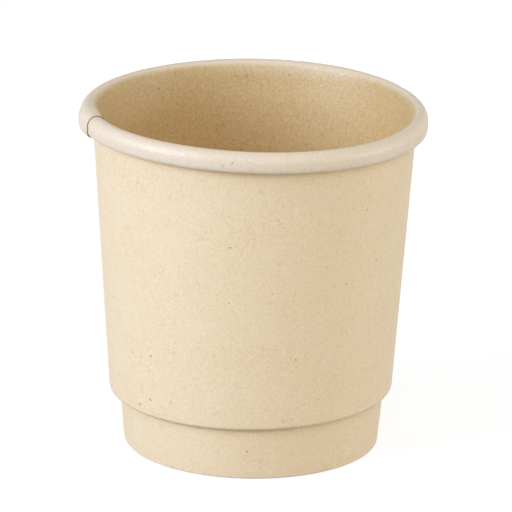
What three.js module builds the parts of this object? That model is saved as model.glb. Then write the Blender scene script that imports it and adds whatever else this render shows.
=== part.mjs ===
// Double-wall paper cup, in millimetres, +Z up.
// The origin is the middle of the foot on the table. The front is -Y and +X is to the right.

import * as THREE from 'three';

// Whole cup
const cupHeight = 62;
const rimDiameter = 62;
const footDiameter = 45.6;

// Inner cup: board, rolled rim and lap seam
const wallBoard = 0.28;
const rimRollWidth = 3.0;
const rimRollHeight = 3.65;
const wallLap = 6.5;
const wallSeamAngle = 200;
const foldInnerRadius = 0.06;

// Base: disc with a turned-down skirt, clamped between the wall and its folded hem
const baseBoard = 0.28;
const floorHeight = 6;
const baseBendRadius = 0.3;
const hemTopGap = 0.9;
const skirtFootGap = 0.2;

// Outer sleeve: board, air gap at its rolled foot, and lap seam at the back
const sleeveBoard = 0.32;
const sleeveFootHeight = 10.1;
const airGap = 1.3;
const sleeveTailHeight = 2;
const sleeveBandHeight = 6;
const sleeveLap = 8;
const sleeveSeamAngle = 96;

// Bonds: the space between two bonded plies, and the clearance left on each side of the film in it
const bondGap = 0.08;
const filmClearance = 0.015;
const filmMargin = 0.8;
const tailFilmMargin = 0.4;

// Fits at the rim
const sleeveTopGap = 0.15;
const curlClearance = 0.15;

// A ply climbs over the edge of the ply below it in this length
const lapRamp = 5;

// Facets: regular stations round the cup and steps in each rounded part of a section
// A regular station gives way to a lap station that is nearer than this share of the spacing
const stationCount = 60;
const stationClearShare = 1 / 3;
const curlSteps = 13;
const foldSteps = 3;
const footRollSteps = 6;
const bendSteps = 4;

// Finishes: matt sleeve board, satin coated board, fused coating and dried glue
const sleeveFinish = { color: '#e2ceac', roughness: 0.8, metalness: 0 };
const wallFinish = { color: '#dcc8a6', roughness: 0.45, metalness: 0 };
const baseFinish = { color: '#d2b98c', roughness: 0.5, metalness: 0 };
const sealFinish = { color: '#cdb78e', roughness: 0.4, metalness: 0 };
const glueFinish = { color: '#efe9da', roughness: 0.5, metalness: 0 };

const fullTurn = 360;
const rimRadius = rimDiameter / 2;
const footRadius = footDiameter / 2;
const rollHalfWidth = rimRollWidth / 2;
const rollHalfHeight = rimRollHeight / 2;
const rollRadius = rimRadius - rollHalfWidth;
const rollHeight = cupHeight - rollHalfHeight;

// How far the upper ply of a lap stands off from the lower one
const wallStep = wallBoard + bondGap;
const sleeveStep = sleeveBoard + bondGap;

// The inner face of the wall runs straight from the foot and meets the elliptical roll as a tangent.
// Squeezing the heights turns the ellipse into a circle, where the tangent is found by angles.
const squeeze = rollHalfWidth / rollHalfHeight;
const innerFootRadius = footRadius - wallBoard;
const centreRun = rollRadius - innerFootRadius;
const centreRise = rollHeight * squeeze;
const centreDistance = Math.hypot(centreRun, centreRise);
const tangentLength = Math.sqrt(centreDistance ** 2 - rollHalfWidth ** 2);
const tangentAngle = Math.atan2(centreRise, centreRun) + Math.asin(rollHalfWidth / centreDistance);
const tangentRun = tangentLength * Math.cos(tangentAngle);
const tangentRise = tangentLength * Math.sin(tangentAngle) / squeeze;
const taper = Math.atan2(tangentRun, tangentRise);
const curlStart = Math.asin((tangentRise - rollHeight) / rollHalfHeight);

// A point [radius, height] at a depth inside the outer face of the wall, measured square to the wall.
// A depth below zero lies outside the wall.
function insideWall(depth, height) {
  const radius = footRadius - depth / Math.cos(taper) + height * Math.tan(taper);
  return [radius, height];
}

function onCircle(centre, radius, angle) {
  return [centre[0] + radius * Math.cos(angle), centre[1] + radius * Math.sin(angle)];
}

// A section is a strip of board seen edge on: the points of its two faces, in step.
function newSection() {
  return { outer: [], inner: [] };
}

function addPair(section, outerPoint, innerPoint) {
  section.outer.push(outerPoint);
  section.inner.push(innerPoint);
}

function addArc(section, centre, outerRadius, innerRadius, from, to, steps) {
  for (let step = 0; step <= steps; step += 1) {
    const angle = from + (to - from) * step / steps;
    addPair(section, onCircle(centre, outerRadius, angle), onCircle(centre, innerRadius, angle));
  }
}

// Heights that several pieces share
const hemTop = floorHeight - hemTopGap;
const skirtFoot = 2 * wallBoard + bondGap + skirtFootGap;
const floorTop = floorHeight + baseBoard;
const sleeveTop = cupHeight - rimRollHeight - sleeveTopGap;
const sleeveKnee = sleeveTop - sleeveBandHeight;

// The curl stops short of the sleeve that passes up behind its end
const sleeveTopRadius = insideWall(-bondGap - sleeveBoard, sleeveTop)[0];
const curlReach = (rollRadius - sleeveTopRadius - curlClearance) / (rollHalfWidth + wallStep);
const curlEnd = 2 * Math.PI - Math.acos(curlReach);

// Section of the inner wall, from the top of the hem, round the fold, up the wall and round the curl.
// climb is 1 on the upper ply of the lap. room is 1 where the fold has to hold both plies.
function wallSection(climb, room) {
  const section = newSection();
  const depth = climb * wallStep;
  const foldRadius = wallBoard + foldInnerRadius + (room - climb) * wallStep;
  const stack = 2 * wallBoard + baseBoard + 2 * bondGap + 2 * room * wallStep;
  const hemDepth = stack - depth;
  addPair(section, insideWall(hemDepth, hemTop), insideWall(hemDepth - wallBoard, hemTop));

  const foldHeight = depth + foldRadius;
  const hemCentre = insideWall(hemDepth - foldRadius, foldHeight);
  const wallCentre = insideWall(depth + foldRadius, foldHeight);
  const foldInside = foldRadius - wallBoard;
  const down = -Math.PI / 2;
  addArc(section, hemCentre, foldRadius, foldInside, -Math.PI - taper, down, foldSteps);
  addArc(section, wallCentre, foldRadius, foldInside, down, -taper, foldSteps);

  for (let step = 0; step <= curlSteps; step += 1) {
    const angle = curlStart + (curlEnd - curlStart) * step / curlSteps;
    const rollPoint = (inset) => [
      rollRadius - (rollHalfWidth + depth - inset) * Math.cos(angle),
      rollHeight + (rollHalfHeight + depth - inset) * Math.sin(angle),
    ];
    addPair(section, rollPoint(wallBoard), rollPoint(0));
  }
  return section;
}

// Section of the base, from the foot of the skirt, round the bend and in to the middle of the disc.
// room is 1 where the skirt is pressed in by the second ply of the wall.
function baseSection(room) {
  const section = newSection();
  const skirtDepth = wallBoard + bondGap + room * wallStep;
  addPair(section, insideWall(skirtDepth, skirtFoot), insideWall(skirtDepth + baseBoard, skirtFoot));
  const bendRadius = baseBoard + baseBendRadius;
  const bendCentre = insideWall(skirtDepth + bendRadius, floorTop - bendRadius);
  addArc(section, bendCentre, bendRadius, baseBendRadius, -taper, Math.PI / 2, bendSteps);
  addPair(section, [0, floorTop], [0, floorHeight]);
  return section;
}

// Section of the sleeve, from the top of the tail, round the rolled foot and up to the rim.
// climb is 1 on the upper ply of the lap. room is 1 where the tail makes way for that ply.
const footRollRadius = (airGap - bondGap + sleeveBoard) / 2;
const footRollHeight = sleeveFootHeight + footRollRadius;

function sleeveSection(climb, room) {
  const section = newSection();
  const radius = footRollRadius + (climb - room) * sleeveStep / 2;
  const inside = radius - sleeveBoard;
  const tailDepth = -bondGap - room * sleeveStep;
  const tailTop = footRollHeight + sleeveTailHeight;
  const outerDepth = -bondGap - sleeveBoard - climb * sleeveStep;
  const topHeight = sleeveTop - climb * wallStep;
  const centre = insideWall(tailDepth - radius, footRollHeight);
  const knee = insideWall(outerDepth, sleeveKnee);

  // The straight wall of the sleeve leaves the rolled foot as a tangent towards the knee
  const reach = Math.hypot(knee[0] - centre[0], knee[1] - centre[1]);
  const leaveAngle = Math.atan2(knee[1] - centre[1], knee[0] - centre[0]) - Math.acos(radius / reach);

  addPair(section, insideWall(tailDepth, tailTop), insideWall(tailDepth - sleeveBoard, tailTop));
  addArc(section, centre, radius, inside, -Math.PI - taper, leaveAngle, footRollSteps);
  addPair(section, knee, insideWall(outerDepth + sleeveBoard, sleeveKnee));
  addPair(section, insideWall(outerDepth, topHeight), insideWall(outerDepth + sleeveBoard, topHeight));
  return section;
}

// A film lies in a bond gap that starts at a depth, between two or more heights.
function filmSection(gapDepth, heights) {
  const section = newSection();
  for (const height of heights) {
    const outerPoint = insideWall(gapDepth + filmClearance, height);
    addPair(section, outerPoint, insideWall(gapDepth + bondGap - filmClearance, height));
  }
  return section;
}

// The glue in the lap of the sleeve follows its straight wall from the rolled foot to the knee,
// and then the band that lies along the inner wall.
function seamGlueSection(lowerPly, upperPly) {
  const section = filmSection(-sleeveBoard - 2 * bondGap, [sleeveKnee, sleeveTop - wallStep - filmMargin]);
  const footIndex = lowerPly.outer.length - 3;
  const lower = lowerPly.outer[footIndex];
  const upper = upperPly.inner[footIndex];
  const share = filmClearance / bondGap;
  const between = (part) => lower.map((value, axis) => THREE.MathUtils.lerp(value, upper[axis], part));
  section.outer.unshift(between(1 - share));
  section.inner.unshift(between(share));
  return section;
}

// Angles of the laps, in degrees. The lower ply of each lap starts at its first angle.
const toDegrees = THREE.MathUtils.radToDeg;
const wallLapAngle = toDegrees(wallLap / rimRadius);
const wallRampAngle = toDegrees(lapRamp / rimRadius);
const wallStart = wallSeamAngle - wallLapAngle;
const wallEnd = wallSeamAngle + fullTurn;
const sleeveFootRadius = insideWall(-airGap - sleeveBoard, sleeveFootHeight)[0];
const sleeveLapAngle = toDegrees(sleeveLap / sleeveFootRadius);
const sleeveRampAngle = toDegrees(lapRamp / sleeveFootRadius);
const sleeveStart = sleeveSeamAngle - sleeveLapAngle;
const sleeveEnd = sleeveSeamAngle + fullTurn;

function rise(angle, from, to) {
  return THREE.MathUtils.clamp((angle - from) / (to - from), 0, 1);
}

// Shares that drive the sections, along each sheet from its start angle to its end angle
function wallClimb(angle) {
  return rise(angle, wallStart + fullTurn - wallRampAngle, wallStart + fullTurn);
}

function wallRoom(angle) {
  return Math.max(1 - rise(angle, wallSeamAngle, wallSeamAngle + wallRampAngle), wallClimb(angle));
}

function sleeveClimb(angle) {
  return rise(angle, sleeveStart + fullTurn - sleeveRampAngle, sleeveStart + fullTurn);
}

function sleeveRoom(angle) {
  return 1 - rise(angle, sleeveSeamAngle, sleeveSeamAngle + sleeveRampAngle);
}

// All pieces share one list of stations, so that the facets of bonded faces stay parallel.
const filmAngle = toDegrees(filmMargin / rimRadius);
const lapStations = [
  wallStart - wallRampAngle,
  wallStart,
  wallStart + filmAngle,
  wallSeamAngle - filmAngle,
  wallSeamAngle,
  wallSeamAngle + wallRampAngle,
  sleeveStart - sleeveRampAngle,
  sleeveStart,
  sleeveStart + filmAngle,
  sleeveSeamAngle - filmAngle,
  sleeveSeamAngle,
  sleeveSeamAngle + sleeveRampAngle,
].map((angle) => THREE.MathUtils.euclideanModulo(angle, fullTurn));

function nearLapStation(angle, spacing) {
  return lapStations.some((lapAngle) => {
    const apart = Math.abs(THREE.MathUtils.euclideanModulo(angle - lapAngle, fullTurn));
    return Math.min(apart, fullTurn - apart) < spacing;
  });
}

function sharedStations() {
  const spacing = fullTurn / stationCount;
  const stations = [...lapStations];
  for (let index = 0; index < stationCount; index += 1) {
    const angle = index * spacing;
    if (!nearLapStation(angle, spacing * stationClearShare)) {
      stations.push(angle);
    }
  }
  return stations.sort((first, second) => first - second);
}

const stations = sharedStations();

// The stations between two angles, counted on past a full turn where a sheet overlaps itself
function stationsBetween(from, to) {
  const tolerance = 1e-6;
  const angles = [];
  for (let turn = -1; turn <= 2; turn += 1) {
    for (const station of stations) {
      const angle = station + turn * fullTurn;
      if (angle > from - tolerance && angle < to + tolerance) {
        angles.push(angle);
      }
    }
  }
  return angles;
}

// Sweeps a changing section round the axis. An open sheet is closed by its two cut edges.
function sweep(angles, sectionAt, isRing) {
  const positions = [];
  const triangles = [];
  const rows = [];
  const pointIndex = new Map();

  const addPoint = (radius, height, angle) => {
    const radians = THREE.MathUtils.degToRad(angle);
    const point = [radius * Math.cos(radians), radius * Math.sin(radians), height];
    const key = radius === 0 ? `axis ${height}` : `point ${positions.length}`;
    if (!pointIndex.has(key)) {
      pointIndex.set(key, positions.length / 3);
      positions.push(...point);
    }
    return pointIndex.get(key);
  };
  const addTriangle = (first, second, third) => {
    if (first !== second && second !== third && third !== first) {
      triangles.push(first, second, third);
    }
  };
  const addQuad = (first, second, third, fourth) => {
    addTriangle(first, second, third);
    addTriangle(first, third, fourth);
  };

  for (const angle of angles) {
    const section = sectionAt(angle);
    const outer = section.outer.map(([radius, height]) => addPoint(radius, height, angle));
    const inner = section.inner.map(([radius, height]) => addPoint(radius, height, angle));
    rows.push({ outer, inner, loop: [...outer, ...[...inner].reverse()] });
  }

  const spans = isRing ? rows.length : rows.length - 1;
  for (let span = 0; span < spans; span += 1) {
    const near = rows[span].loop;
    const far = rows[(span + 1) % rows.length].loop;
    near.forEach((point, index) => {
      const next = (index + 1) % near.length;
      addQuad(point, far[index], far[next], near[next]);
    });
  }
  if (!isRing) {
    const first = rows[0];
    const last = rows[rows.length - 1];
    for (let index = 0; index + 1 < first.outer.length; index += 1) {
      addQuad(first.outer[index], first.outer[index + 1], first.inner[index + 1], first.inner[index]);
      addQuad(last.inner[index], last.inner[index + 1], last.outer[index + 1], last.outer[index]);
    }
  }

  const geometry = new THREE.BufferGeometry();
  geometry.setAttribute('position', new THREE.Float32BufferAttribute(positions, 3));
  geometry.setIndex(triangles);
  geometry.computeVertexNormals();
  return geometry;
}

function ring(sectionAt) {
  return sweep(stationsBetween(wallSeamAngle, wallEnd).slice(0, -1), sectionAt, true);
}

function sheet(from, to, sectionAt) {
  return sweep(stationsBetween(from, to), sectionAt, false);
}

const cup = new THREE.Group();

function addPiece(name, geometry, finish) {
  const mesh = new THREE.Mesh(geometry, new THREE.MeshStandardMaterial(finish));
  mesh.name = name;
  cup.add(mesh);
}

// Inner cup
const wallSheet = sheet(
  wallStart,
  wallEnd,
  (angle) => wallSection(wallClimb(angle), wallRoom(angle)),
);
addPiece('inner_wall', wallSheet, wallFinish);
addPiece('base_disc', ring((angle) => baseSection(wallRoom(angle))), baseFinish);

// Fused coating in the joints of the inner cup
const wallSealHeights = [floorTop + filmMargin, rollHeight - filmMargin];
const wallSealSection = filmSection(wallBoard, wallSealHeights);
const wallSeal = sheet(wallStart + filmAngle, wallSeamAngle - filmAngle, () => wallSealSection);
addPiece('wall_seam_seal', wallSeal, sealFinish);

const skirtSealHeights = [skirtFoot + filmMargin, hemTop - filmMargin];
const outerSeal = ring(
  (angle) => filmSection(wallBoard + wallRoom(angle) * wallStep, skirtSealHeights),
);
addPiece('base_outer_seal', outerSeal, sealFinish);

const skirtInnerFace = wallBoard + bondGap + baseBoard;
const innerSeal = ring(
  (angle) => filmSection(skirtInnerFace + wallRoom(angle) * wallStep, skirtSealHeights),
);
addPiece('base_inner_seal', innerSeal, sealFinish);

// Outer sleeve and its glue
const sleeveSheet = sheet(
  sleeveStart,
  sleeveEnd,
  (angle) => sleeveSection(sleeveClimb(angle), sleeveRoom(angle)),
);
addPiece('outer_sleeve', sleeveSheet, sleeveFinish);

const topGlueHeights = [sleeveKnee + filmMargin, sleeveTop - filmMargin];
addPiece('sleeve_top_glue', ring(() => filmSection(-bondGap, topGlueHeights)), glueFinish);

const tailFilmTop = footRollHeight + sleeveTailHeight - tailFilmMargin;
const footGlueHeights = [footRollHeight, tailFilmTop];
addPiece('sleeve_foot_glue', ring(() => filmSection(-bondGap, footGlueHeights)), glueFinish);

const lowerPly = sleeveSection(0, 1);
const upperPly = sleeveSection(1, 0);
const seamGlue = sheet(
  sleeveStart + filmAngle,
  sleeveSeamAngle - filmAngle,
  () => seamGlueSection(lowerPly, upperPly),
);
addPiece('sleeve_seam_glue', seamGlue, glueFinish);

export default cup;
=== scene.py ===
import math

import bmesh
import bpy
from mathutils import Matrix, Vector


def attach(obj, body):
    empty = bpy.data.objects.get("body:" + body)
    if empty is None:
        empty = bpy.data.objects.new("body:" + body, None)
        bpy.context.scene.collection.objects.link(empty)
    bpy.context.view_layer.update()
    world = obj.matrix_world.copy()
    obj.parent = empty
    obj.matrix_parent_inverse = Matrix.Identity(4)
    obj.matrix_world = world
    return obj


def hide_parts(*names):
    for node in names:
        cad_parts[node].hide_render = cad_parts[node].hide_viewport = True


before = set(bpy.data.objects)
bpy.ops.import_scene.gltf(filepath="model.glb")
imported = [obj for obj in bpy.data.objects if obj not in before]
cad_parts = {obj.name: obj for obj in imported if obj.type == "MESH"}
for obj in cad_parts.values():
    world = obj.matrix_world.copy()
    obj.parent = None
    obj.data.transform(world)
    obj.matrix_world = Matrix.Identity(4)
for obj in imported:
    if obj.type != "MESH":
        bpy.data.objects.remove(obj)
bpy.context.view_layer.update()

mm = 0.001  # the sizes below are in millimetres, Blender works in metres
fullTurn = 360.0


# shared helpers

def hexColour(code):
    # sRGB hex to linear RGBA
    channels = [int(code[i:i + 2], 16) / 255 for i in (1, 3, 5)]
    linear = [c / 12.92 if c <= 0.04045 else ((c + 0.055) / 1.055) ** 2.4 for c in channels]
    return (*linear, 1.0)


def perMetre(sizeMm):
    # texture scale that gives features of this size
    return 1 / (sizeMm * mm)


def addNode(tree, kind, inputs=None, **settings):
    # an input is a value, an output of another node, or a node, which stands for its first output
    node = tree.nodes.new(kind)
    for key, value in settings.items():
        setattr(node, key, value)
    for socket, value in (inputs or {}).items():
        if isinstance(value, bpy.types.Node):
            value = value.outputs[0]
        if isinstance(value, bpy.types.NodeSocket):
            tree.links.new(value, node.inputs[socket])
        else:
            node.inputs[socket].default_value = value
    return node


def newMaterial(name):
    material = bpy.data.materials.new(name)
    material.use_nodes = True
    material.node_tree.nodes.clear()
    return material, material.node_tree


# sizes of the three boards, the same as the solids they dress
# they stand together, because each board takes its fit from the others

cup = dict(  # the inner wall with its hem and rolled rim
    height=62.0,
    rimDiameter=62.0,
    footDiameter=45.6,
    board=0.28,
    rollWidth=3.0,
    rollHeight=3.65,
    rollCorner=3.8,  # 2 is an ellipse; the outer bottom corner of the roll is squarer
    lipRise=0.8,  # the wall runs on this far above the roll's middle and then bends more tightly
    lap=6.5,
    seamAngle=200.0,
    foldInside=0.06,
    bond=0.08,
    ramp=5.0,  # length over which a ply climbs on to its neighbour
    pressed=0.17,  # the free edge of the lap is pressed thinner by this much
    closed=0.06,  # and down on to the ply below by this much
    pressLength=4.0,
)

base = dict(
    board=0.28,
    floorHeight=6.0,
    bendInside=0.3,
    hemTopGap=0.9,
    skirtFootGap=0.2,
    dome=0.25,  # the disc rises a little in the middle
)

sleeve = dict(
    board=0.32,
    footHeight=10.1,
    airGap=1.3,
    tail=2.0,
    band=6.0,
    lap=8.0,
    seamAngle=96.0,
    topGap=0.15,
    curlClearance=0.15,
    skew=0.35,  # the foot edge sits this much higher on the right than in the middle
    drop=0.3,  # and this much lower all round
    flare=(-0.06, 0.26),  # stands off this much at the foot and at the top
)

# the cup is not quite true: waves round it as lobes, millimetres and phase in degrees
uneven = dict(
    rimOut=((1, -0.10, 0), (1, 0.15, -100), (2, -0.20, 0), (2, 0.15, -90), (5, 0.02, 10)),
    footOut=((1, 0.18, 0), (3, 0.03, 20)),
    rimUp=((0, -0.05, 0), (1, 0.12, 90), (1, 0.35, -167), (2, 0.23, -123)),
    rimOutHeights=(55.0, 60.0),  # each wave grows between two heights
    footOutHeights=(7.0, 11.0),
    rimUpHeights=(45.0, 58.0),
)

# how finely the sheets are cut up
steps = dict(
    around=1.0,  # degrees
    curl=44,
    fold=8,
    wall=26,
    footRoll=16,
    bend=10,
    floor=12,
    sharpAngle=35.0,  # degrees between faces past which an edge shades sharp
    mergeGap=0.0001,
    sliver=0.00001,
)

rimRadius = cup["rimDiameter"] / 2
footRadius = cup["footDiameter"] / 2
rollHalfWidth = cup["rollWidth"] / 2
rollHalfHeight = cup["rollHeight"] / 2
rollRadius = rimRadius - rollHalfWidth
rollCentre = cup["height"] - rollHalfHeight
wallStep = cup["board"] + cup["bond"]
sleeveStep = sleeve["board"] + cup["bond"]

# the wall's inner face is a tangent from the foot to the elliptical roll
squeeze = rollHalfWidth / rollHalfHeight
centreRun = rollRadius - (footRadius - cup["board"])
centreRise = rollCentre * squeeze
centreDistance = math.hypot(centreRun, centreRise)
tangentLength = math.sqrt(centreDistance ** 2 - rollHalfWidth ** 2)
tangentAngle = math.atan2(centreRise, centreRun) + math.asin(rollHalfWidth / centreDistance)
tangentRun = tangentLength * math.cos(tangentAngle)
tangentRise = tangentLength * math.sin(tangentAngle) / squeeze
taper = math.atan2(tangentRun, tangentRise)
curlStart = math.asin((tangentRise - rollCentre) / rollHalfHeight)

hemTop = base["floorHeight"] - base["hemTopGap"]
skirtFoot = 2 * cup["board"] + cup["bond"] + base["skirtFootGap"]
floorTop = base["floorHeight"] + base["board"]
sleeveTop = cup["height"] - cup["rollHeight"] - sleeve["topGap"]
sleeveKnee = sleeveTop - sleeve["band"]
footRollRadius = (sleeve["airGap"] - cup["bond"] + sleeve["board"]) / 2
footRollCentre = sleeve["footHeight"] + footRollRadius


def insideWall(depth, height):
    # radius and height at a depth inside the wall's outer face, square to the wall
    return (footRadius - depth / math.cos(taper) + height * math.tan(taper), height)


# the curl stops just short of the sleeve's outer face
sleeveTopRadius = insideWall(-cup["bond"] - sleeve["board"], sleeveTop)[0]
curlReach = (rollRadius - sleeveTopRadius - sleeve["curlClearance"]) / (rollHalfWidth + wallStep)
curlEnd = 2 * math.pi - math.acos(curlReach)


# sections: a strip of board seen edge on, as pairs of points on its two faces

def onCircle(centre, radius, angle):
    return (centre[0] + radius * math.cos(angle), centre[1] + radius * math.sin(angle))


def arcPairs(centre, outer, inner, start, end, count):
    angles = [start + (end - start) * i / count for i in range(count + 1)]
    return [(onCircle(centre, outer, a), onCircle(centre, inner, a)) for a in angles]


def blendPoints(first, second, share):
    return tuple(a + (b - a) * share for a, b in zip(first, second))


def straightPairs(first, second, count):
    # the pairs between two others, without those two
    pairs = []
    for i in range(1, count):
        pairs.append(tuple(blendPoints(a, b, i / count) for a, b in zip(first, second)))
    return pairs


def curlPairs(depth, press):
    # the rolled rim, from the top of the wall out, down and back in to the sleeve
    pairs = []
    for i in range(steps["curl"] + 1):
        angle = curlStart + (curlEnd - curlStart) * i / steps["curl"]
        across, upwards = math.cos(angle), math.sin(angle)
        if across < 0 and upwards < 0:
            across = -abs(across) ** (2 / cup["rollCorner"])
            upwards = -abs(upwards) ** (2 / cup["rollCorner"])
        lift = cup["lipRise"] if across > 0 and upwards > 0 else 0.0
        halfWidth = rollHalfWidth - lift * math.tan(taper)
        faces = []
        for inset in (cup["board"] + press * cup["closed"], press * cup["pressed"]):
            radius = rollRadius - (halfWidth + depth - inset) * across
            height = rollCentre + lift + (rollHalfHeight - lift + depth - inset) * upwards
            faces.append((radius, height))
        pairs.append(tuple(faces))
    return pairs


def wallSection(climb, room, press):
    # hem, fold, wall and curl; climb lifts the upper ply of the lap, room widens the fold for both
    # plies and press thins the ply towards its free edge
    board = cup["board"]
    depth = climb * wallStep
    fold = board + cup["foldInside"] + (room - climb) * wallStep
    hemDepth = 2 * board + base["board"] + 2 * cup["bond"] + 2 * room * wallStep - depth
    foldHeight = depth + fold
    down = -math.pi / 2
    hemCentre = insideWall(hemDepth - fold, foldHeight)
    wallCentre = insideWall(depth + fold, foldHeight)
    pairs = [(insideWall(hemDepth, hemTop), insideWall(hemDepth - board, hemTop))]
    pairs += arcPairs(hemCentre, fold, fold - board, -math.pi - taper, down, steps["fold"])
    pairs += arcPairs(wallCentre, fold, fold - board, down, -taper, steps["fold"])
    curl = curlPairs(depth, press)
    return pairs + straightPairs(pairs[-1], curl[0], steps["wall"]) + curl


def baseSection(room):
    # skirt, bend and disc, which is pressed in by the wall's second ply where room is 1
    depth = cup["board"] + cup["bond"] + room * wallStep
    bend = base["board"] + base["bendInside"]
    centre = insideWall(depth + bend, floorTop - bend)
    pairs = [(insideWall(depth, skirtFoot), insideWall(depth + base["board"], skirtFoot))]
    pairs += arcPairs(centre, bend, base["bendInside"], -taper, math.pi / 2, steps["bend"])
    edge = centre[0]
    for i in range(1, steps["floor"] + 1):
        radius = edge * (1 - i / steps["floor"])
        domeRise = base["dome"] * (1 - (radius / edge) ** 2) ** 2
        pairs.append(((radius, floorTop + domeRise), (radius, base["floorHeight"] + domeRise)))
    return pairs


def sleeveSection(climb, room):
    # tail, rolled foot, straight wall and the band glued under the rim
    board = sleeve["board"]
    radius = footRollRadius + (climb - room) * sleeveStep / 2
    tailDepth = -cup["bond"] - room * sleeveStep
    tailTop = footRollCentre + sleeve["tail"]
    depth = -cup["bond"] - board - climb * sleeveStep
    top = sleeveTop - climb * wallStep
    centre = insideWall(tailDepth - radius, footRollCentre)
    knee = insideWall(depth, sleeveKnee)
    reach = math.hypot(knee[0] - centre[0], knee[1] - centre[1])
    leave = math.atan2(knee[1] - centre[1], knee[0] - centre[0]) - math.acos(radius / reach)
    pairs = [(insideWall(tailDepth, tailTop), insideWall(tailDepth - board, tailTop))]
    pairs += arcPairs(centre, radius, radius - board, -math.pi - taper, leave, steps["footRoll"])
    kneePair = (knee, insideWall(depth + board, sleeveKnee))
    pairs += straightPairs(pairs[-1], kneePair, steps["wall"])
    return pairs + [kneePair, (insideWall(depth, top), insideWall(depth + board, top))]


# laps round the cup, in degrees

def easeBetween(value, start, end):
    # 0 up to the start and 1 from the end on, with a smooth change in between
    share = min(max((value - start) / (end - start), 0.0), 1.0)
    return share * share * (3 - 2 * share)


def lapOf(seamAngle, lapWidth, radius):
    start = seamAngle - math.degrees(lapWidth / radius)
    return dict(start=start, seam=seamAngle, ramp=math.degrees(cup["ramp"] / radius))


def climbAt(lap, angle):
    return easeBetween(angle, lap["start"] + fullTurn - lap["ramp"], lap["start"] + fullTurn)


def roomAt(lap, angle):
    return 1 - easeBetween(angle, lap["seam"], lap["seam"] + lap["ramp"])


wallLap = lapOf(cup["seamAngle"], cup["lap"], rimRadius)
sleeveFootRadius = insideWall(-sleeve["airGap"] - sleeve["board"], sleeve["footHeight"])[0]
sleeveLap = lapOf(sleeve["seamAngle"], sleeve["lap"], sleeveFootRadius)


# sheets swept round the axis

def anglesBetween(start, end):
    count = round((end - start) / steps["around"])
    return [start + (end - start) * i / count for i in range(count + 1)]


def waveAt(waves, angle):
    return sum(size * math.cos(math.radians(lobes * angle + phase)) for lobes, size, phase in waves)


def unevenAt(radius, height, angle):
    # the same slow waves on every piece, so that bonded faces stay together
    foot = waveAt(uneven["footOut"], angle) * (1 - easeBetween(height, *uneven["footOutHeights"]))
    rim = waveAt(uneven["rimOut"], angle) * easeBetween(height, *uneven["rimOutHeights"])
    up = waveAt(uneven["rimUp"], angle) * easeBetween(height, *uneven["rimUpHeights"])
    return radius + (foot + rim) * radius / rimRadius, height + up


def makeSheet(name, angles, sectionAt, closed, bend=None):
    # material slot 0 is the section's first face, 1 its second face and 2 the board's cut edges
    points, faces, slots = [], [], []
    sections = [sectionAt(angle) for angle in angles]
    pairCount = len(sections[0])
    loopCount = 2 * pairCount
    for angle, section in zip(angles, sections):
        turn = math.radians(angle)
        loop = [pair[0] for pair in section] + [pair[1] for pair in reversed(section)]
        for radius, height in loop:
            if bend:
                radius, height = bend(radius, height, angle)
            radius, height = unevenAt(radius, height, angle)
            points.append((radius * math.cos(turn) * mm, radius * math.sin(turn) * mm, height * mm))
    spans = len(angles) if closed else len(angles) - 1
    for span in range(spans):
        near = span * loopCount
        far = ((span + 1) % len(angles)) * loopCount
        for i in range(loopCount):
            after = (i + 1) % loopCount
            faces.append((near + i, far + i, far + after, near + after))
            isCut = i in (pairCount - 1, loopCount - 1)
            slots.append(2 if isCut else int(i >= pairCount))
    if not closed:
        last = (len(angles) - 1) * loopCount
        for i in range(pairCount - 1):
            opposite = loopCount - 1 - i
            faces.append((i, i + 1, opposite - 1, opposite))
            faces.append((last + opposite, last + opposite - 1, last + i + 1, last + i))
            slots += [2, 2]
    mesh = bpy.data.meshes.new(name)
    mesh.from_pydata(points, [], faces)
    mesh.polygons.foreach_set("material_index", slots)
    mesh.polygons.foreach_set("use_smooth", [True] * len(mesh.polygons))
    mesh.validate()
    mesh.set_sharp_from_angle(angle=math.radians(steps["sharpAngle"]))
    piece = bpy.data.objects.new(name, mesh)
    bpy.context.scene.collection.objects.link(piece)
    return piece


def mergeMiddle(piece):
    # the disc's points that meet on the axis become one
    work = bmesh.new()
    work.from_mesh(piece.data)
    bmesh.ops.remove_doubles(work, verts=work.verts, dist=steps["mergeGap"] * mm)
    bmesh.ops.dissolve_degenerate(work, edges=work.edges, dist=steps["sliver"] * mm)
    work.to_mesh(piece.data)
    work.free()


def makeInnerWall():
    edge = wallLap["seam"] + fullTurn
    pressTurn = math.degrees(cup["pressLength"] / rimRadius)

    def sectionAt(angle):
        climb = climbAt(wallLap, angle)
        press = easeBetween(angle, edge - pressTurn, edge)
        return wallSection(climb, max(roomAt(wallLap, angle), climb), press)

    return makeSheet("inner_cup_wall", anglesBetween(wallLap["start"], edge), sectionAt, False)


def makeBase():
    angles = anglesBetween(wallLap["seam"], wallLap["seam"] + fullTurn)[:-1]

    def sectionAt(angle):
        return baseSection(max(roomAt(wallLap, angle), climbAt(wallLap, angle)))

    piece = makeSheet("cup_base", angles, sectionAt, True)
    mergeMiddle(piece)
    return piece


def makeSleeve():
    angles = anglesBetween(sleeveLap["start"], sleeveLap["seam"] + fullTurn)
    footFlare, topFlare = sleeve["flare"]

    def sectionAt(angle):
        return sleeveSection(climbAt(sleeveLap, angle), roomAt(sleeveLap, angle))

    def skewFoot(radius, height, angle):
        # full at the foot, fading out towards the rim
        share = (sleeveTop - height) / (sleeveTop - sleeve["footHeight"])
        flare = topFlare + (footFlare - topFlare) * share
        lift = sleeve["skew"] * math.cos(math.radians(angle)) - sleeve["drop"]
        return radius + flare, height + lift * share

    return makeSheet("outer_sleeve_board", angles, sectionAt, False, skewFoot)


wallPiece = makeInnerWall()
basePiece = makeBase()
sleevePiece = makeSleeve()
print("pieces made:", wallPiece.name, basePiece.name, sleevePiece.name)


# board materials

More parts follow.
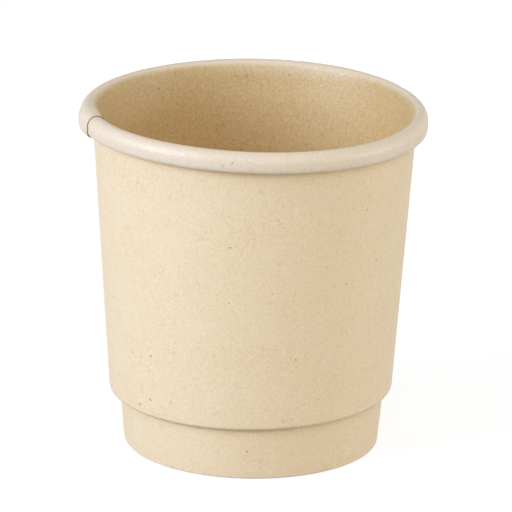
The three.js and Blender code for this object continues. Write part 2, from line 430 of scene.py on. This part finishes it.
# unbleached paper board, uncoated and calendered: matt and cloudy, with fibres and a few flecks
sleeveBoard = dict(
    name="natural_board_uncoated",
    wallShade=("#ffffff", "#ffffff"),
    rimSheen="#ffffff",
    light="#e3ceac",
    dark="#dcc296",
    mottle="#cbb085",
    fibre="#eddfc4",
    fleck="#7d5a30",
    brown="#ab7630",
    # painted shade: multiplied in where a crevice is shut in
    creviceShadeTint="#d0ab5e",
    strand=0.3,
    rimStrand=0.3,
    fleckShare=0.22,
    speckle=0.3,
    rimSpeckle=0.3,
    roughness=(0.45, 0.58),
    ior=1.5,
    specular=0.45,
    coat=0.0,
    coatRoughness=0.4,
)

# the same board with a thin barrier coating: satin, tinted a little deeper low inside, darker towards
# the top of the wall as painted shade, and pale on the rolled rim as painted sheen
coatedBoard = dict(
    name="natural_board_barrier_coated",
    wallShade=("#fceec7", "#cec3a4"),  # near white low on the wall, darker at the rim's bend as painted shade
    # painted sheen: the rolled rim is paled towards this grey white
    rimSheen="#ececee",
    light="#e7d8c1",
    dark="#e0ceae",
    mottle="#d7b98d",
    fibre="#fbebce",
    fleck="#785830",
    brown="#a5702c",
    # painted shade: multiplied in where a crevice is shut in
    creviceShadeTint="#f5ebcf",
    strand=0.42,
    rimStrand=0.1,
    fleckShare=0.5,
    speckle=0.7,
    rimSpeckle=0.28,
    roughness=(0.45, 0.58),
    ior=1.5,
    specular=0.5,
    coat=0.2,
    coatRoughness=0.42,
)

# pattern sizes in millimetres; single fibres, about 0.03 wide, are drawn coarser to show
grain = dict(
    cloud=7.0,
    cloudRange=(0.1, 0.9),
    mottle=0.42,
    mottleRange=(0.3, 0.7),
    fibre=1.5,  # bend length of the pale fibres
    fibreLevel=0.5,  # noise value that a fibre follows
    fibreWidth=0.018,  # in noise values, about 0.05 mm
    fibreBreak=(0.45, 0.6),
    fibreStrength=0.45,
    strand=1.1,  # bend length of the brown strands
    strandLevel=0.56,
    strandWidth=0.03,  # in noise values, about 0.07 mm
    strandBreak=(0.53, 0.62),
    ragged=1.2,  # how far the mottle pushes the outlines of flecks and smudges about
    crease=0.8,
    crevice=2.5,
    creviceRange=(0.45, 0.9),  # openness at which the painted crevice shade is full and at which it is gone
    # the wall's painted shade deepens between these heights
    shadeHeights=(42.0, 60.5),
    rimFade=(0.9, 0.52),  # shares of the roll's half width, from its middle towards the axis, between which the rim's painted sheen fades in; its edge paints a highlight at the inner bend
    bump=0.02,
    bumpStrength=0.5,
    coatBumpStrength=0.25,
)

flecks = dict(spacing=1.7, radius=0.238, soft=0.068, strength=0.9, draw="Red")
smudges = dict(spacing=2.6, radius=0.338, soft=0.26, strength=0.25, draw="Green", share=0.3)


def rimShare(tree, place):
    # 0 on the wall and 1 on the rolled rim, by the distance from the cup's axis
    flat = addNode(tree, "ShaderNodeVectorMath", {0: place, 1: (1, 1, 0)}, operation="MULTIPLY")
    reach = addNode(tree, "ShaderNodeVectorMath", {0: flat}, operation="LENGTH")
    wallSide, rollSide = (rollRadius - rollHalfWidth * share for share in grain["rimFade"])
    return addNode(tree, "ShaderNodeMapRange", {
        "Value": reach.outputs["Value"], "From Min": wallSide * mm, "From Max": rollSide * mm})


def lineMask(tree, field, level, width):
    # thin curves where a noise crosses a level
    off = addNode(tree, "ShaderNodeMath", {0: field, 1: level}, operation="SUBTRACT")
    near = addNode(tree, "ShaderNodeMath", {0: off}, operation="ABSOLUTE")
    return addNode(tree, "ShaderNodeMapRange", {
        "Value": near, "From Min": 0.0, "From Max": width, "To Min": 1.0, "To Max": 0.0})


def spotMask(tree, place, spots, share):
    # this share of the cells of a Voronoi pattern holds a small spot
    spacing = spots["spacing"]
    cells = addNode(tree, "ShaderNodeTexVoronoi", {"Vector": place, "Scale": perMetre(spacing)})
    chance = addNode(tree, "ShaderNodeSeparateColor", {"Color": cells.outputs["Color"]})
    size = addNode(tree, "ShaderNodeMapRange", {
        "Value": chance.outputs[spots["draw"]], "From Min": 0.0, "From Max": share,
        "To Min": spots["radius"] / spacing, "To Max": 0.0})
    edge = addNode(tree, "ShaderNodeMath", {
        0: size, 1: cells.outputs["Distance"]}, operation="SUBTRACT")
    return addNode(tree, "ShaderNodeMapRange", {
        "Value": edge, "From Min": 0.0, "From Max": spots["soft"] / spacing,
        "To Min": 0.0, "To Max": spots["strength"]})


def paintedShadeAndSheen(tree, look, height, onRim):
    # painted shade: the wall is tinted from near white low down to darker at the rim's bend, where
    # shade falls under the roll
    # painted sheen: the rolled rim is paler, and its pale edge at the inner bend paints a highlight
    # there
    shadeLow, shadeHigh = grain["shadeHeights"]
    climb = addNode(tree, "ShaderNodeMapRange", {
        "Value": height, "From Min": shadeLow * mm, "From Max": shadeHigh * mm})
    wallShaded = addNode(tree, "ShaderNodeMixRGB", {
        "Fac": climb, "Color1": hexColour(look["wallShade"][0]), "Color2": hexColour(look["wallShade"][1])})
    return addNode(tree, "ShaderNodeMixRGB", {
        "Fac": onRim, "Color1": wallShaded, "Color2": hexColour(look["rimSheen"])})


def paintedCreviceShade(tree, height):
    # painted shade: the board is darkened and warmed where ambient occlusion finds it shut in, under
    # the rim and under the sleeve's foot the foot stands on the floor, which lights it, so the
    # painted shade fades out towards the floor
    shutAt, openAt = grain["creviceRange"]
    crevice = addNode(tree, "ShaderNodeAmbientOcclusion", {
        "Distance": grain["crevice"] * mm}, samples=8)
    shut = addNode(tree, "ShaderNodeMapRange", {
        "Value": crevice.outputs["AO"], "From Min": shutAt, "From Max": openAt,
        "To Min": 1.0, "To Max": 0.0})
    offFloor = addNode(tree, "ShaderNodeMapRange", {
        "Value": height, "From Min": base["floorHeight"] / 2 * mm,
        "From Max": base["floorHeight"] * mm})
    return addNode(tree, "ShaderNodeMath", {0: shut, 1: offFloor}, operation="MULTIPLY")


def rimCreases(tree, axes, onRim):
    # rolling leaves fine creases across the rim: they change only with the way round
    turn = addNode(tree, "ShaderNodeMath", {
        0: axes.outputs["Y"], 1: axes.outputs["X"]}, operation="ARCTAN2")
    along = addNode(tree, "ShaderNodeMath", {0: turn, 1: rimRadius * mm}, operation="MULTIPLY")
    crease = addNode(tree, "ShaderNodeTexNoise", {
        "W": along, "Scale": perMetre(grain["crease"]), "Detail": 3.0},
        noise_dimensions="1D")
    return addNode(tree, "ShaderNodeMath", {0: crease, 1: onRim}, operation="MULTIPLY")


def makeBoard(look):
    material, tree = newMaterial(look["name"])
    place = addNode(tree, "ShaderNodeTexCoord").outputs["Object"]
    axes = addNode(tree, "ShaderNodeSeparateXYZ", {"Vector": place})
    onRim = rimShare(tree, place)
    cloud = addNode(tree, "ShaderNodeTexNoise", {
        "Vector": place, "Scale": perMetre(grain["cloud"]), "Detail": 4.0, "Roughness": 0.55})
    mottle = addNode(tree, "ShaderNodeTexNoise", {
        "Vector": place, "Scale": perMetre(grain["mottle"]), "Detail": 3.0, "Roughness": 0.65})

    # pale fibres, broken up by the clouds
    fibreField = addNode(tree, "ShaderNodeTexNoise", {
        "Vector": place, "Scale": perMetre(grain["fibre"]), "Detail": 2.0, "Distortion": 0.6})
    fibreLine = lineMask(tree, fibreField, grain["fibreLevel"], grain["fibreWidth"])
    fibreBreak = addNode(tree, "ShaderNodeMapRange", {
        "Value": cloud, "From Min": grain["fibreBreak"][0], "From Max": grain["fibreBreak"][1],
        "To Min": 0.0, "To Max": grain["fibreStrength"]})
    fibre = addNode(tree, "ShaderNodeMath", {0: fibreLine, 1: fibreBreak}, operation="MULTIPLY")

    # short brown strands, kept only where the fibres' noise is high
    strandField = addNode(tree, "ShaderNodeTexNoise", {
        "Vector": place, "Scale": perMetre(grain["strand"]), "Detail": 1.0, "Distortion": 1.2})
    strandLine = lineMask(tree, strandField, grain["strandLevel"], grain["strandWidth"])
    strandBreak = addNode(tree, "ShaderNodeMapRange", {
        "Value": fibreField, "From Min": grain["strandBreak"][0],
        "From Max": grain["strandBreak"][1]})
    strandShort = addNode(tree, "ShaderNodeMath", {
        0: strandLine, 1: strandBreak}, operation="MULTIPLY")
    strandShare = addNode(tree, "ShaderNodeMapRange", {
        "Value": onRim, "To Min": look["strand"], "To Max": look["rimStrand"]})
    strand = addNode(tree, "ShaderNodeMath", {
        0: strandShort, 1: strandShare}, operation="MULTIPLY")

    # small dark flecks and wider, paler smudges, both with ragged outlines
    ragged = addNode(tree, "ShaderNodeMixRGB", {
        "Fac": grain["ragged"] * mm, "Color1": place, "Color2": mottle.outputs["Color"]},
        blend_type="ADD")
    fleck = spotMask(tree, ragged, flecks, look["fleckShare"])
    smudge = spotMask(tree, ragged, smudges, smudges["share"])

    # colour, from the clouds up to the flecks
    cloudFade = addNode(tree, "ShaderNodeMapRange", {
        "Value": cloud, "From Min": grain["cloudRange"][0], "From Max": grain["cloudRange"][1]})
    colour = addNode(tree, "ShaderNodeMixRGB", {
        "Fac": cloudFade, "Color1": hexColour(look["light"]), "Color2": hexColour(look["dark"])})
    mottleLow, mottleHigh = grain["mottleRange"]
    mottleFade = addNode(tree, "ShaderNodeMapRange", {
        "Value": mottle, "From Min": mottleLow, "From Max": mottleHigh})
    speckle = addNode(tree, "ShaderNodeMixRGB", {
        "Fac": mottleFade, "Color1": hexColour(look["fibre"]), "Color2": hexColour(look["mottle"])})
    speckleShare = addNode(tree, "ShaderNodeMapRange", {
        "Value": onRim, "To Min": look["speckle"], "To Max": look["rimSpeckle"]})
    layers = (
        (speckleShare, speckle),
        (fibre, hexColour(look["fibre"])),
        (strand, hexColour(look["brown"])),
        (smudge, hexColour(look["brown"])),
        (fleck, hexColour(look["fleck"])),
    )
    for share, tone in layers:
        colour = addNode(tree, "ShaderNodeMixRGB", {
            "Fac": share, "Color1": colour, "Color2": tone})
    height = axes.outputs["Z"]
    # painted light over the board's own colour: the wall's painted shade, the rim's painted sheen and
    # the painted crevice shade
    paintedWashes = (
        (1.0, paintedShadeAndSheen(tree, look, height, onRim)),
        (paintedCreviceShade(tree, height), hexColour(look["creviceShadeTint"])),
    )
    for share, tone in paintedWashes:
        colour = addNode(tree, "ShaderNodeMixRGB", {
            "Fac": share, "Color1": colour, "Color2": tone}, blend_type="MULTIPLY")

    # the felt of the board and the creases of the rim, softer through the coating
    felt = addNode(tree, "ShaderNodeMath", {0: mottle, 1: fibre}, operation="ADD")
    relief = addNode(tree, "ShaderNodeMath", {
        0: felt, 1: rimCreases(tree, axes, onRim)}, operation="ADD")
    bump = addNode(tree, "ShaderNodeBump", {
        "Height": relief, "Distance": grain["bump"] * mm, "Strength": grain["bumpStrength"]})
    coatBump = addNode(tree, "ShaderNodeBump", {
        "Height": relief, "Distance": grain["bump"] * mm, "Strength": grain["coatBumpStrength"]})
    rough = addNode(tree, "ShaderNodeMapRange", {
        "Value": mottle, "From Min": mottleLow, "From Max": mottleHigh,
        "To Min": look["roughness"][0], "To Max": look["roughness"][1]})
    shader = addNode(tree, "ShaderNodeBsdfPrincipled", {
        "Base Color": colour, "Roughness": rough, "Normal": bump,
        "IOR": look["ior"], "Specular IOR Level": look["specular"],
        "Coat Weight": look["coat"], "Coat Roughness": look["coatRoughness"],
        "Coat Normal": coatBump})
    addNode(tree, "ShaderNodeOutputMaterial", {"Surface": shader})
    return material


# edge and bond materials: two tones of one stuff in a fine noise, with a little relief

# board cut by a die: raw fibre, darker and rougher than the faces
cutEdge = dict(
    name="die_cut_board_edge",
    pale="#a3845a",
    deep="#876a42",
    size=0.25,
    detail=2.0,
    bump=0.03,
    bumpStrength=0.6,
    roughness=0.9,
    ior=1.5,
)

# barrier coating melted between two plies: thin, tan and slightly streaked, with a soft shine
fusedCoating = dict(
    name="fused_barrier_coating",
    pale="#d8c49c",
    deep="#c3aa7a",
    size=1.2,
    detail=3.0,
    bump=0.02,
    bumpStrength=0.4,
    roughness=0.35,
    ior=1.48,
)

# cold glue rolled on and dried: the same streaks, off-white and a little duller
driedGlue = dict(
    name="dried_white_glue",
    pale="#f1ebdd",
    deep="#ded4be",
    size=1.2,
    detail=3.0,
    bump=0.02,
    bumpStrength=0.4,
    roughness=0.45,
    ior=1.48,
)


def makeStreaked(look):
    material, tree = newMaterial(look["name"])
    place = addNode(tree, "ShaderNodeTexCoord").outputs["Object"]
    streak = addNode(tree, "ShaderNodeTexNoise", {
        "Vector": place, "Scale": perMetre(look["size"]), "Detail": look["detail"]})
    tone = addNode(tree, "ShaderNodeMixRGB", {
        "Fac": streak, "Color1": hexColour(look["pale"]), "Color2": hexColour(look["deep"])})
    bump = addNode(tree, "ShaderNodeBump", {
        "Height": streak, "Distance": look["bump"] * mm, "Strength": look["bumpStrength"]})
    shader = addNode(tree, "ShaderNodeBsdfPrincipled", {
        "Base Color": tone, "Normal": bump, "Roughness": look["roughness"], "IOR": look["ior"]})
    addNode(tree, "ShaderNodeOutputMaterial", {"Surface": shader})
    return material


sleeveMaterial = makeBoard(sleeveBoard)
coatedMaterial = makeBoard(coatedBoard)
cutEdgeMaterial = makeStreaked(cutEdge)
sealMaterial = makeStreaked(fusedCoating)
glueMaterial = makeStreaked(driedGlue)

dressing = (
    (wallPiece, (sleeveMaterial, coatedMaterial), "inner_wall", "cup_board"),
    (basePiece, (coatedMaterial, sleeveMaterial), "base_disc", "base_board"),
    (sleevePiece, (sleeveMaterial, sleeveMaterial), "outer_sleeve", "sleeve_board"),
)
for piece, faceMaterials, node, slot in dressing:
    for material in (*faceMaterials, cutEdgeMaterial):
        piece.data.materials.append(material)
    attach(piece, "root")
    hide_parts(node)

films = {
    "wall_seam_seal": sealMaterial,
    "base_outer_seal": sealMaterial,
    "base_inner_seal": sealMaterial,
    "sleeve_top_glue": glueMaterial,
    "sleeve_foot_glue": glueMaterial,
    "sleeve_seam_glue": glueMaterial,
}
for node, film in films.items():
    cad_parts[node].data.materials.clear()
    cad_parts[node].data.materials.append(film)
print("materials made:", ", ".join(m.name for m in bpy.data.materials if m.users))


# stage: white floor, room light and lamps, with places and sizes in metres

studio = dict(
    floorSize=4.0,
    floorDrop=0.00002,  # keeps the floor just clear of the foot
    floorBounce=0.3,  # grey of the floor as the cup is lit by it
    floorGlow=0.81,  # white that the floor shows by itself
    floorShade=0.25,  # white that it takes from the lamps, and so loses in the shadow
    worldLow=0.12,  # room light from the horizon
    worldHigh=1.42,  # and from straight above
    shownWhite=1.0,
    lamps=dict(
        left=dict(place=(-1.0, 0.15, 0.2), size=0.7, power=1.7, colour="#fff1cc"),
        key=dict(place=(-0.88, -0.5, 0.38), size=0.6, power=13.0, colour="#dce7ff"),
        front=dict(place=(0.05, -1.1, 0.3), size=0.9, power=4.0, colour="#f5f9ff"),
        frontRight=dict(place=(0.8, -0.75, 0.2), size=0.6, power=2.5, colour="#ffe8c0"),
        right=dict(place=(1.0, -0.1, 0.16), size=0.3, power=3.8, colour="#e1edff"),
        back=dict(place=(0.04, 0.28, 0.02), size=0.04, power=0.18, colour="#ffffff"),
    ),
)


def grey(level):
    return (level, level, level, 1.0)


def seenWhite(tree):
    # 1 where the surroundings are looked at, straight or in a reflection, and 0 where they only light
    path = addNode(tree, "ShaderNodeLightPath")
    mirrored = addNode(tree, "ShaderNodeMath", {
        0: path.outputs["Is Camera Ray"], 1: path.outputs["Is Glossy Ray"]}, operation="MAXIMUM")
    return addNode(tree, "ShaderNodeMath", {
        0: mirrored, 1: path.outputs["Is Transmission Ray"]}, operation="MAXIMUM")


def makeFloor():
    half = studio["floorSize"] / 2
    mesh = bpy.data.meshes.new("floor")
    corners = [(-half, -half, 0), (half, -half, 0), (half, half, 0), (-half, half, 0)]
    mesh.from_pydata(corners, [], [(0, 1, 2, 3)])
    floor = bpy.data.objects.new("floor", mesh)
    bpy.context.scene.collection.objects.link(floor)
    floor.location.z = -studio["floorDrop"]
    # matt white studio paper: plain white to the eye, with only a faint shadow of the cup
    material, tree = newMaterial("white_paper_sweep")
    lit = addNode(tree, "ShaderNodeBsdfDiffuse", {"Color": grey(studio["floorBounce"])})
    shade = addNode(tree, "ShaderNodeBsdfDiffuse", {"Color": grey(studio["floorShade"])})
    glow = addNode(tree, "ShaderNodeEmission", {
        "Color": grey(1.0), "Strength": studio["floorGlow"]})
    shown = addNode(tree, "ShaderNodeAddShader", {0: shade, 1: glow})
    both = addNode(tree, "ShaderNodeMixShader", {"Fac": seenWhite(tree), 1: lit, 2: shown})
    addNode(tree, "ShaderNodeOutputMaterial", {"Surface": both})
    mesh.materials.append(material)


def makeWorld():
    world = bpy.data.worlds.new("white_studio")
    world.use_nodes = True
    tree = world.node_tree
    tree.nodes.clear()
    # the room's light comes from above and from the right
    direction = addNode(tree, "ShaderNodeTexCoord").outputs["Generated"]
    side = addNode(tree, "ShaderNodeSeparateXYZ", {"Vector": direction})
    toRight = addNode(tree, "ShaderNodeMapRange", {
        "Value": side.outputs["X"], "From Min": -1.0, "From Max": 1.0})
    upwards = addNode(tree, "ShaderNodeMapRange", {
        "Value": side.outputs["Z"], "To Min": studio["worldLow"], "To Max": studio["worldHigh"]})
    strength = addNode(tree, "ShaderNodeMath", {0: toRight, 1: upwards}, operation="MULTIPLY")
    light = addNode(tree, "ShaderNodeBackground", {"Color": grey(1.0), "Strength": strength})
    shown = addNode(tree, "ShaderNodeBackground", {
        "Color": grey(1.0), "Strength": studio["shownWhite"]})
    both = addNode(tree, "ShaderNodeMixShader", {"Fac": seenWhite(tree), 1: light, 2: shown})
    addNode(tree, "ShaderNodeOutputWorld", {"Surface": both})
    bpy.context.scene.world = world


def makeLamp(name, look, target):
    data = bpy.data.lights.new(name, "AREA")
    data.shape = "DISK"
    data.size = look["size"]
    data.energy = look["power"]
    data.color = hexColour(look["colour"])[:3]
    lamp = bpy.data.objects.new(name, data)
    lamp.location = look["place"]
    aim = Vector(target) - Vector(look["place"])
    lamp.rotation_euler = aim.to_track_quat("-Z", "Y").to_euler()
    bpy.context.scene.collection.objects.link(lamp)


makeFloor()
makeWorld()
cupMiddle = (0, 0, cup["height"] / 2 * mm)
for lampName, look in studio["lamps"].items():
    makeLamp(lampName, look, cupMiddle)
print("stage made: floor, world and lamps")


# camera, matched to the outline in the photograph

view = dict(
    distance=931.6,  # millimetres from the aim point
    elevation=17.94,  # degrees
    roll=0.933,  # degrees
    aim=(0.607, 0.0, 33.93),  # millimetres
    focalPixels=5226.5,
    framePixels=512,
    sensor=36.0,  # millimetres
    clipStart=10.0,  # millimetres
)


def makeCamera():
    tilt = math.radians(view["elevation"])
    roll = math.radians(view["roll"])
    aim = Vector(view["aim"]) * mm
    away = Vector((0, -math.cos(tilt), math.sin(tilt)))
    right = Vector((1, 0, 0))
    up = away.cross(right)
    rolledRight = right * math.cos(roll) + up * math.sin(roll)
    rolledUp = up * math.cos(roll) - right * math.sin(roll)
    data = bpy.data.cameras.new("photo_camera")
    data.sensor_width = view["sensor"]
    data.lens = view["focalPixels"] * view["sensor"] / view["framePixels"]
    data.clip_start = view["clipStart"] * mm
    camera = bpy.data.objects.new("photo_camera", data)
    place = Matrix((rolledRight, rolledUp, away)).transposed().to_4x4()
    place.translation = aim + away * view["distance"] * mm
    camera.matrix_world = place
    bpy.context.scene.collection.objects.link(camera)
    bpy.context.scene.camera = camera


makeCamera()
bpy.context.scene.view_settings.view_transform = "Standard"
